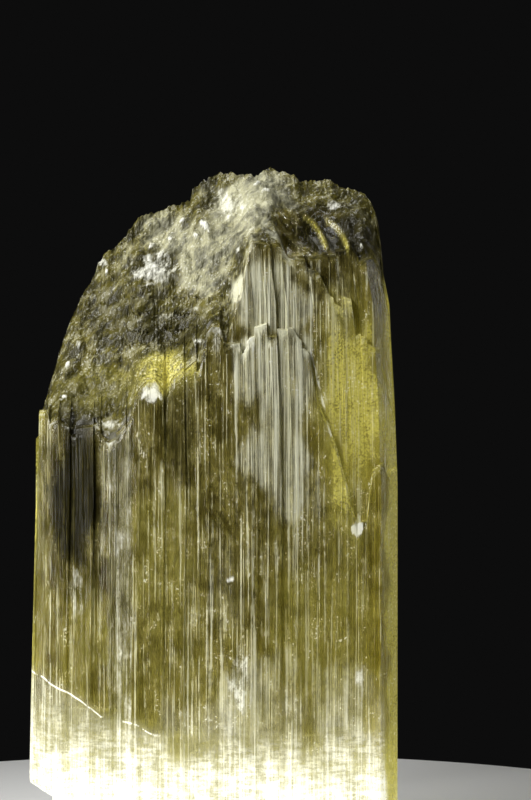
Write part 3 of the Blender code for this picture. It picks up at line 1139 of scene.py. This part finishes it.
    # Lumps and dents of the dome, as (x, z, radius, height).
    lumps: tuple[Quad, ...] = (
        (-9.9, 49.4, 0.8, 0.55), (-5.5, 48.4, 2.1, 0.75), (-1.0, 51.5, 2.4, 0.55),
        (-4.4, 44.6, 1.3, -0.55), (-8.2, 40.6, 2.3, -0.45), (2.0, 54.6, 1.7, -0.5),
        (5.0, 55.6, 1.4, 0.5), (10.7, 54.5, 0.9, 0.5), (-11.3, 42.4, 1.3, 0.45),
    )
    # The dome's small terraces: across, upwards, their pitch, depth and swing.
    terraces: Row = (-8.0, -6.5, 0.5, 2.0)
    terrace_heights: Row = (41.5, 43.0, 46.5, 47.5)
    terrace_pitch: float = 1.25
    terrace_depth: float = 0.4
    terrace_swing: Pair = (0.35, 2.0)
    # How high the dome has to be for its full relief, and where the fine relief ends.
    full_relief: float = 3.0
    relief_share: float = 0.65
    relief_ends: Pair = (0.04, 0.97)
    # The broken-away left corner, the chips round the base and the slices near the sides.
    notch_end: float = -13.65
    notch_heights: Pair = (4.55, 3.6)
    chip_height: Pair = (0.25, 0.9)
    chip_inset: Pair = (0.3, 0.8)
    chip_widths: Pair = (0.7, 0.45)
    side_slices: Row = (0.0, 0.04, 0.12, 0.2, 0.4)
    # How white the ledges' rims are, and how bright the painted highlight on the relief's peaks is.
    rim_white: Row = (0.45, 0.35, 0.0)
    rim_reach: float = 1.4
    painted_peak_highlight: float = 0.72
    peaks: Pair = (0.12, 0.42)
    peak_swell: float = 0.3
    # Where inclusions fit: the heights between which the front steps back, and the skin.
    step_heights: Pair = (25.0, 40.0)
    skin: float = 0.45
    # How fine the mesh is: a step's riser, the gaps between slices and the rows up them.
    riser: float = 0.012
    widest_gap: float = 0.12
    front_rows: tuple[int, ...] = (46, 14, 8)
    dome_rows: int = 64
    back_dome_rows: int = 24
    back_rows: int = 26
    # The chances' start, and the two striated faces.
    seed: int = 17
    front: PrismFace = field(default_factory=lambda: PrismFace(16.0, (0.5, 1.6)))
    back: PrismFace = field(default_factory=lambda: PrismFace(16.0, (1.1, 2.9)))

    def lean(self, x: float, z: float) -> float:
        """How far the slice at x has moved sideways by height z, where the edges taper.

        Args:
            x: the slice's place.
            z: height.

        Returns:
            The move along X.
        """
        share = (x + self.width / 2) / self.width
        left = along(self.left_edge, z) + self.width / 2
        right = along(self.right_edge, z) - self.width / 2
        return mix(left, right, share)

    def height_on_slice(self, line: Line, x: float) -> float:
        """Height of a line of the front view, where the leaning slice at x meets it.

        Args:
            line: the line, as (x, z).
            x: the slice's place.

        Returns:
            The height.
        """
        height = along(line, x)
        for _ in range(3):
            height = along(line, x + self.lean(x, height))
        return height

    def thinness(self, x: float) -> float:
        """Share of the full depth that the crystal has at x."""
        depth = along(self.back_plan, x) - along(self.front_plan, x)
        return min(1.0, depth / (self.full_thickness * self.depth))

    def foot_height(self, x: float) -> float:
        """Height of the underside: the base, or the roof of the broken left corner.

        Args:
            x: the slice's place.

        Returns:
            The height.
        """
        if x > self.notch_end:
            return 0.0
        half = self.width / 2
        return mix(*self.notch_heights, (x + half) / (self.notch_end + half))

    def layer_tops(self, x: float, raggedness: Sequence[float]) -> list[float]:
        """Heights of the three stepped layers at x, none above the next.

        Args:
            x: the slice's place.
            raggedness: how far the column ends above or below each top, from -1 to 1.

        Returns:
            The heights, from the lowest layer up.
        """
        highest = self.height_on_slice(self.ridge, x) - self.least_dome
        tops: list[float] = []
        for row, line in enumerate(self.layers):
            height = self.height_on_slice(line, x) if x >= line[0][0] else 0.0
            height += along(self.ragged_tops, x) * raggedness[row]
            height = min(height, highest - self.least_step * (len(self.steps) - row))
            tops.append(max([height] + tops))
        return tops

    def swell(self, place: Vector) -> float:
        """Smooth swells of the dome."""
        return sum(height * noise.noise(place / size) for height, size in self.swells)

    def broad_relief(self, x: float, y: float, z: float) -> float:
        """The solid's own relief on the dome: swells, lumps and small ledges.

        Args:
            x: place across.
            y: place from front to back.
            z: height.

        Returns:
            How far the dome stands out there.
        """
        relief = self.swell(Vector((x, y, z)))
        for lump_x, lump_z, radius, height in self.lumps:
            reach = ((x - lump_x) ** 2 + (z - lump_z) ** 2) / (2 * radius * radius)
            relief += height * math.exp(-reach)
        presence = window(self.terraces, x) * window(self.terrace_heights, z)
        swing = self.terrace_swing[0] * noise.noise(Vector((x / self.terrace_swing[1], 0.0, 7.0)))
        return relief + self.terrace_depth * presence * ((z / self.terrace_pitch + swing) % 1.0 - 0.5)

    def fine_relief(self, x: float, y: float, z: float) -> float:
        """Etch pits and sharp little facets, or the scoop's smooth shell-like ripples.

        Args:
            x: place across.
            y: place from front to back.
            z: height.

        Returns:
            How far the dome stands out there.
        """
        smooth = window(self.scoop, x) * window(self.scoop_heights, z)
        place = Vector((x, y, z))
        rough = sum(height * noise.noise(place / size) for height, size in self.pits)
        for height, size, seat in self.facets:
            nearest, second = noise.voronoi(place / size + Vector((seat, 0.0, 0.0)))[0][:2]
            rough += height * (second - nearest)
        reach = math.dist((x, z), self.ripple_middle)
        waves = [math.exp(-(((reach - r) / self.ripple_width) ** 2)) for r in self.ripples]
        return mix(rough - self.facet_middle, self.ripple_height * sum(waves), smooth)

    def jagged(self, x: float, row: float) -> float:
        """Small raggedness of the skyline at x.

        Args:
            x: the slice's place.
            row: where the noise is read, so that each use of it differs.

        Returns:
            How far the skyline strays.
        """
        return sum(
            height * noise.noise(Vector((x / width, row, seat))) for height, width, seat in self.jags
        )

    def worn_lip(self, below: float, presence: float) -> Pair:
        """How etched a ledge's lip is at a height below it, and how far it is worn back."""
        edge = ease(self.lip[0], 0.0, below) * presence
        return edge, self.lip[1] * edge

    def front_outline(self, x: float, chip: Pair) -> list[Row]:
        """(y, z, etched, rim) up the front of a slice, to the foot of the dome.

        Args:
            x: the slice's place.
            chip: height and inset of the chipped rim of the base.

        Returns:
            The points, from the foot up.
        """
        y = along(self.front_plan, x) + self.front.depth_at(x)
        foot = self.foot_height(x)
        tops = self.layer_tops(x, self.front.column_at(x).tops)
        points = [(y + chip[1] * self.thinness(x), foot, 1.0, 0.0)]
        low = foot + chip[0]
        for layer, top in enumerate(tops):
            high = max(low + self.least_step, top)
            presence = ease(0.0, self.full_step, high - low)
            for row in range(self.front_rows[layer] + 1):
                z = mix(low, high, row / self.front_rows[layer])
                edge, inset = self.worn_lip(high - z, presence)
                rim = self.rim_white[layer] * ease(self.rim_reach, 0.0, high - z) * presence
                points.append((y + self.front.hair_at(x, z) + inset, z, edge, rim))
            y += max(self.least_step, self.steps[layer] * presence) * self.thinness(x)
            low = high + self.ledge_rise * presence + self.least_step
        return points + [(y, low, 1.0, 0.0)]

    def back_outline(self, x: float, chip: Pair) -> list[Row]:
        """(y, z, etched, rim) up the back of a slice, to the foot of the dome.

        Args:
            x: the slice's place.
            chip: height and inset of the chipped rim of the base.

        Returns:
            The points, from the foot up.
        """
        y = along(self.back_plan, x) - self.back.depth_at(x)
        foot = self.foot_height(x)
        low = foot + chip[0]
        ridge = self.height_on_slice(self.ridge, x)
        high = min(self.height_on_slice(self.back_ledge, x), ridge - 2 * self.least_dome)
        high += along(self.ragged_tops, x) * self.back.column_at(x).tops[0]
        points = [(y - chip[1] * self.thinness(x), foot, 1.0, 0.0)]
        for row in range(self.back_rows + 1):
            z = mix(low, high, row / self.back_rows)
            edge, inset = self.worn_lip(high - z, 1.0)
            points.append((y - self.back.hair_at(x, z) - inset, z, edge, 0.0))
        return points + [(y - self.back_step * self.thinness(x), high + self.ledge_rise, 1.0, 0.0)]

    def dome_profile(self, x: float, share: float) -> float:
        """Share of the dome's height at a share of its depth: bulging, or hollow in the scoop.

        Args:
            x: the slice's place.
            share: share of the depth, from the front's ledge to the ridge.

        Returns:
            The share of the height.
        """
        if share < self.scoop_end:
            hollow = self.scoop_rise * (share / self.scoop_end) ** 3
        else:
            hollow = mix(self.scoop_rise, 1.0, (share - self.scoop_end) / (1 - self.scoop_end))
        return mix(share ** self.dome_power, hollow, window(self.scoop, x))

    def settle(self, ragged: Sequence[float], smooth: Sequence[float], share: float) -> list[float]:
        """A point that leaves a ragged ledge and soon lies on the smooth form behind it."""
        settled = ease(0.0, self.settle_share, share)
        return [mix(a, b, settled) for a, b in zip(ragged[:2], smooth)]

    def dome_outline(
        self, x: float, front_ledge: Sequence[float], back_ledge: Sequence[float]
    ) -> list[Row]:
        """(y, z, etched, rim) from the front's last ledge over the ridge to the back's; rim is the peaks'
        painted highlight.

        Args:
            x: the slice's place.
            front_ledge: last point of the front.
            back_ledge: last point of the back.

        Returns:
            The points, from front to back.
        """
        thinness = self.thinness(x)
        level = [0.0] * len(self.steps)
        heights = [self.layer_tops(x + shift, level)[-1] for shift in self.smoothing]
        dome_foot = sum(heights) / len(heights) + self.ledge_rise
        front_foot = (along(self.front_plan, x) + sum(self.steps) * thinness, dome_foot)
        back_foot = (along(self.back_plan, x) - self.back_step * thinness, back_ledge[1])
        sway = self.ridge_sway * noise.noise(Vector((x / self.sway_length, 3.0, 0.0)))
        ridge_y = mix(front_foot[0], back_foot[0], self.ridge_share) + sway * thinness
        ridge_z = self.height_on_slice(self.ridge, x)
        presence = min(1.0, (ridge_z - front_foot[1]) / self.full_relief) * thinness
        jag_y = self.jagged(x, 5.0) * presence
        jag_z = self.jagged(x, 0.0) * presence - self.ridge_drop
        jag_z += self.burrs * abs(self.jagged(x, 3.0)) * (1 - presence)
        points = []
        for row in range(1, self.dome_rows):
            share = row / self.dome_rows
            foot_y, foot_z = self.settle(front_ledge, front_foot, share)
            edge = share ** self.jag_power
            y = mix(foot_y, ridge_y, share) + jag_y * edge
            z = mix(foot_z, ridge_z, self.dome_profile(x, share)) + jag_z * edge
            broad = self.broad_relief(x, y, z) * math.sin(math.pi * share) ** 0.5
            fine = self.fine_relief(x, y, z) * ease(0.0, self.relief_ends[0], share)
            fine *= ease(1.0, self.relief_ends[1], share)
            relief = (broad + fine) * presence * self.relief_share
            # Painted highlight: the relief's peaks are whitened.
            white = self.painted_peak_highlight * ease(*self.peaks, fine + broad * self.peak_swell)
            slack = self.least_step * (self.dome_rows - row) * self.row_slack
            highest = ridge_z + jag_z * edge - slack
            smooth = window(self.scoop, x) * window(self.scoop_heights, z)
            points.append((y - relief, min(z + relief, highest), 1.0 - smooth, white * (1 - smooth)))
        points.append((ridge_y + jag_y, ridge_z + jag_z, 1.0, 0.0))
        for row in range(1, self.back_dome_rows):
            share = row / self.back_dome_rows
            foot_y, foot_z = self.settle(back_ledge, back_foot, 1 - share)
            edge = (1 - share) ** self.jag_power
            y = mix(ridge_y, foot_y, share) + jag_y * edge
            z = mix(ridge_z, foot_z, share ** self.back_power) + jag_z * edge
            rough = self.swell(Vector((x, y, z))) + self.fine_relief(x, y, z)
            relief = rough * math.sin(math.pi * share) * presence * self.relief_share
            points.append((y + relief, z + relief, 1.0, 0.0))
        return points

    def slice_positions(self) -> list[float]:
        """The x places of the slices: both sides of every step, and enough between them.

        Returns:
            The places, from left to right.
        """
        half = self.width / 2
        edges = [column.start for column in self.front.columns[1:] + self.back.columns[1:]]
        edges += [start for start, _ in self.front.hairs[1:]]
        edges += [self.notch_end]
        places = [side * (half - inset) for side in (-1, 1) for inset in self.side_slices]
        for x in edges:
            if abs(x) < half - max(self.side_slices):
                places += [x - self.riser, x + self.riser]
        kept: list[float] = []
        for x in sorted(places):
            if kept and x - kept[-1] < self.riser:
                continue
            if kept and x - kept[-1] > self.widest_gap:
                parts = math.ceil((x - kept[-1]) / self.widest_gap)
                kept += [mix(kept[-1], x, part / parts) for part in range(1, parts)]
            kept.append(x)
        return kept

    def chips(self, x: float, side: Side) -> Pair:
        """Height and inset of the chipped rim of the base at x.

        Args:
            x: the slice's place.
            side: the front or the back.

        Returns:
            The height and the inset.
        """
        broad, narrow = (x / width for width in self.chip_widths)
        height = noise.noise(Vector((broad, side.value, 1.0))) * 0.5 + 0.5
        inset = noise.noise(Vector((narrow, side.value, 4.0))) * 0.5 + 0.5
        return mix(*self.chip_height, height), mix(*self.chip_inset, inset)

    def slice_outline(self, x: float) -> list[Row]:
        """The closed (y, z, etched, rim) outline of the slice at x.

        Args:
            x: the slice's place.

        Returns:
            The points, in order round the slice.
        """
        front = self.front_outline(x, self.chips(x, Side.FRONT))
        back = self.back_outline(x, self.chips(x, Side.BACK))
        return front + self.dome_outline(x, front[-1], back[-1]) + back[::-1]

    def build(self, markings: Markings) -> bpy.types.Object:
        """Loft the crystal, fit it to its solid and note its markings at its points.

        Args:
            markings: where it is cloudy, warm, dark or white.

        Returns:
            The crystal, standing for the solid's node.
        """
        chance = random.Random(self.seed)
        self.front.grow(chance, len(self.steps))
        self.back.grow(chance, len(self.steps))
        self.front.striate(chance)
        self.back.striate(chance)
        points: list[Vector] = []
        etched: list[float] = []
        veils: list[float] = []
        marks: list[float] = []
        rings: list[list[int]] = []
        for slice_x in self.slice_positions():
            outline = self.slice_outline(slice_x)
            rings.append(list(range(len(points), len(points) + len(outline))))
            for y, z, share, rim in outline:
                x = slice_x + self.lean(slice_x, z)
                points.append(Vector((x, y, z)) * MM)
                etched.append(share)
                veils += markings.veils(x, y, z)
                marks += markings.marks(x, y, z, rim)
        faces = [tuple(rings[0]), tuple(reversed(rings[-1]))]
        for left, right in zip(rings, rings[1:]):
            for i in range(len(left)):
                j = (i + 1) % len(left)
                faces.append((left[i], right[i], right[j], left[j]))
        shift = self.level_shift(points)
        mesh = bpy.data.meshes.new("spodumene_crystal")
        mesh.from_pydata([point + shift for point in points], [], faces)
        mesh.attributes.new("etched", "FLOAT", "POINT").data.foreach_set("value", etched)
        mesh.attributes.new("veils", "FLOAT_VECTOR", "POINT").data.foreach_set("vector", veils)
        mesh.attributes.new("marks", "FLOAT_VECTOR", "POINT").data.foreach_set("vector", marks)
        piece = add_object("spodumene_crystal", mesh)
        self.close(mesh)
        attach(piece, "root")
        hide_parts(NODE)
        log.info("%s: %d points, %d slices", piece.name, len(points), len(rings))
        return piece

    def level_shift(self, points: Sequence[Vector]) -> Vector:
        """The level move that puts the middle of these points over the middle of the solid.

        Args:
            points: the crystal's points, in metres.

        Returns:
            The move, in metres.
        """
        low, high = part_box(NODE)
        shift = Vector((0.0, 0.0, 0.0))
        for axis in (0, 1):
            places = [point[axis] for point in points]
            shift[axis] = (low[axis] + high[axis]) / 2 - (min(places) + max(places)) / 2
        return shift

    def close(self, mesh: bpy.types.Mesh) -> None:
        """Split the end faces into triangles and turn all faces outwards.

        Args:
            mesh: the lofted mesh.
        """
        shape = bmesh.new()
        shape.from_mesh(mesh)
        ends = [face for face in shape.faces if len(face.verts) > 4]
        bmesh.ops.triangulate(shape, faces=ends)
        bmesh.ops.recalc_face_normals(shape, faces=shape.faces[:])
        shape.to_mesh(mesh)
        shape.free()

    def holds(self, x: float, y: float, z: float, cover: float) -> bool:
        """Whether a point lies inside the crystal with this much of it over the point.

        Args:
            x: place across.
            y: place from front to back.
            z: height.
            cover: how much crystal has to lie over the point.

        Returns:
            True where it lies inside.
        """
        if not self.foot_height(x) + cover < z < self.layer_tops(x, [0.0] * 3)[-1] - cover:
            return False
        front = along(self.front_plan, x) + sum(self.steps) * ease(*self.step_heights, z) + self.skin
        back = along(self.back_plan, x) - self.back_step - self.skin
        return front + cover < y < back - cover


class Form(Enum):
    """What an inclusion looks like."""

    FLAKE = "flake"
    NEEDLE = "needle"


@dataclass(frozen=True)
class Cloud:
    """A crowd of inclusions in a box inside the crystal.

    Attributes:
        low: lowest corner of the box.
        high: highest corner of the box.
        count: how many are tried.
        size: smallest and largest length of one.
        crowding: how much they gather towards the box's foot.
    """

    low: Triple
    high: Triple
    count: int
    size: Pair
    crowding: float = 1.0


@dataclass
class Inclusions:
    """Joined mesh of many tiny flakes or needles inside the crystal.

    Attributes:
        name: the piece's name.
        form: flakes or needles.
        clouds: where they are.
        finish: what they look like.
        seed: start of their chances.
        slimness: width of a needle as a share of its length.
    """

    name: str
    form: Form
    clouds: Sequence[Cloud]
    finish: InclusionFinish
    seed: int
    slimness: float = 0.03

    def plate(self, chance: random.Random, middle: Vector, size: float) -> list[Vector]:
        """The four corners of one flake or needle.

        Args:
            chance: the stream of chances.
            middle: its middle.
            size: its length.

        Returns:
            The corners, in order.
        """
        if self.form is Form.NEEDLE:
            turn = Euler((0.0, 0.0, chance.uniform(-1.2, 1.2)))
            wide = Vector((size * self.slimness, 0.0, 0.0))
            tall = Vector((0.0, 0.0, size / 2))
        else:
            turn = Euler([chance.uniform(0, math.tau) for _ in range(3)])
            wide = Vector((size * chance.uniform(0.2, 0.5), 0.0, 0.0))
            tall = Vector((0.0, 0.0, size * chance.uniform(0.2, 0.5)))
        wide.rotate(turn)
        tall.rotate(turn)
        return [middle - wide, middle - tall, middle + wide, middle + tall]

    def build(self, crystal: Crystal) -> bpy.types.Object:
        """Scatter the inclusions inside the crystal and join them.

        Args:
            crystal: what they lie in.

        Returns:
            The joined mesh.
        """
        chance = random.Random(self.seed)
        points: list[Vector] = []
        for cloud in self.clouds:
            for _ in range(cloud.count):
                x, y = (chance.uniform(cloud.low[axis], cloud.high[axis]) for axis in (0, 1))
                z = mix(cloud.low[2], cloud.high[2], chance.random() ** cloud.crowding)
                size = mix(*cloud.size, chance.random() ** 2)
                middle = Vector((x, y, z))
                corners = self.plate(chance, middle, size)
                if crystal.holds(x, y, z, size / 2):
                    points += [corner * MM for corner in corners]
        faces = [tuple(range(i, i + 4)) for i in range(0, len(points), 4)]
        mesh = bpy.data.meshes.new(self.name)
        mesh.from_pydata(points, [], faces)
        piece = add_object(self.name, mesh)
        self.finish.dress(piece)
        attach(piece, "root")
        log.info("%s: %d inclusions", self.name, len(faces))
        return piece


@dataclass(frozen=True)
class SoftBox:
    """A rectangular studio light that faces its aim, with its power in watts and spread in degrees."""

    name: str
    place: Triple
    aim: Triple
    size: Pair
    power: float
    spread: float

    def build(self) -> None:
        """Hang the light."""
        light = bpy.data.lights.new(self.name, "AREA")
        light.shape = "RECTANGLE"
        light.size, light.size_y = (length * MM for length in self.size)
        light.energy = self.power
        light.spread = math.radians(self.spread)
        lamp = add_object(self.name, light)
        lamp.location = Vector(self.place) * MM
        direction = Vector(self.aim) - Vector(self.place)
        lamp.rotation_euler = direction.to_track_quat("-Z", "Y").to_euler()
        lamp.visible_camera = False


@dataclass
class Studio:
    """The round floor just under the crystal, the lights, the dim surroundings and the camera."""

    floor_radius: float = 50.0
    floor_drop: float = 0.02
    dimness: float = 0.004
    eye: Triple = (4.53, -232.4, 37.5)
    lens: float = 120.0
    frame_width: float = 36.0
    nearest: float = 5.0
    lights: tuple[SoftBox, ...] = (
        SoftBox("left_strip", (-150.0, -50.0, 70.0), (0.0, 0.0, 34.0), (70.0, 150.0), 0.034, 50.0),
        SoftBox("right_strip", (160.0, 10.0, 60.0), (0.0, 0.0, 34.0), (60.0, 150.0), 0.006, 50.0),
        SoftBox("front_fill", (-140.0, -170.0, 160.0), (0.0, 0.0, 40.0), (110.0, 90.0), 0.032, 35.0),
        SoftBox("top_light", (10.0, 20.0, 230.0), (2.0, 0.0, 45.0), (90.0, 90.0), 0.014, 30.0),
    )

    def build(self) -> None:
        """Set up the studio."""
        self.lay_floor()
        for light in self.lights:
            light.build()
        world = bpy.data.worlds.new("dim_room")
        world.use_nodes = True
        background = world.node_tree.nodes["Background"]
        background.inputs["Color"].default_value = (self.dimness,) * 3 + (1.0,)
        bpy.context.scene.world = world
        bpy.context.scene.view_settings.view_transform = "Standard"
        self.set_camera()
        log.info("studio: floor, %d lights and camera", len(self.lights))

    def lay_floor(self) -> None:
        """Lay the round floor under the crystal."""
        shape = bmesh.new()
        place = Matrix.Translation((0.0, 0.0, -self.floor_drop * MM))
        bmesh.ops.create_circle(
            shape, cap_ends=True, segments=128, radius=self.floor_radius * MM, matrix=place
        )
        mesh = bpy.data.meshes.new("floor")
        shape.to_mesh(mesh)
        shape.free()
        floor = add_object("floor", mesh)
        StageFinish().dress(floor)

    def set_camera(self) -> None:
        """Stand the camera level in front of the crystal."""
        lens = bpy.data.cameras.new("camera")
        lens.lens = self.lens
        lens.sensor_width = self.frame_width
        lens.clip_start = self.nearest * MM
        camera = add_object("camera", lens)
        camera.location = Vector(self.eye) * MM
        camera.rotation_euler = (math.pi / 2, 0.0, 0.0)
        bpy.context.scene.camera = camera


def corners(box: Sequence[Sequence[float]]) -> list[list[float]]:
    """A box's two corners as plain lists of numbers."""
    return [[float(value) for value in corner] for corner in box]


def main() -> None:
    """Build, dress and light the crystal."""
    logging.basicConfig(level=logging.INFO, format="%(name)s: %(message)s")
    crystal = Crystal()
    piece = crystal.build(Markings())
    CrystalFinish().dress(piece)
    # The last number is the inclusions' painted glow.
    pale = InclusionFinish("pale_needles", (0.45, 0.45, 0.22), (0.85, 0.85, 0.62), 0.05)
    white = InclusionFinish("white_flakes", (0.72, 0.70, 0.45), (0.95, 0.94, 0.82), 0.25)
    Inclusions("needles", Form.NEEDLE, (
        Cloud((-6.5, -6.5, 2.0), (13.0, 5.0, 42.0), 2600, (0.6, 4.0), 1.2),
        Cloud((-8.8, -5.6, 2.0), (-6.7, 0.0, 34.0), 500, (0.6, 4.0), 1.2),
        Cloud((-14.0, -4.0, 2.0), (-9.0, 3.0, 32.0), 120, (0.6, 3.0), 1.0),
    ), pale, 3).build(crystal)
    Inclusions("flakes", Form.FLAKE, (
        Cloud((-15.0, -6.5, 0.5), (15.0, 6.0, 9.0), 5000, (0.1, 0.6), 1.8),
    ), white, 4).build(crystal)
    Studio().build()


if __name__ == "__main__":
    main()
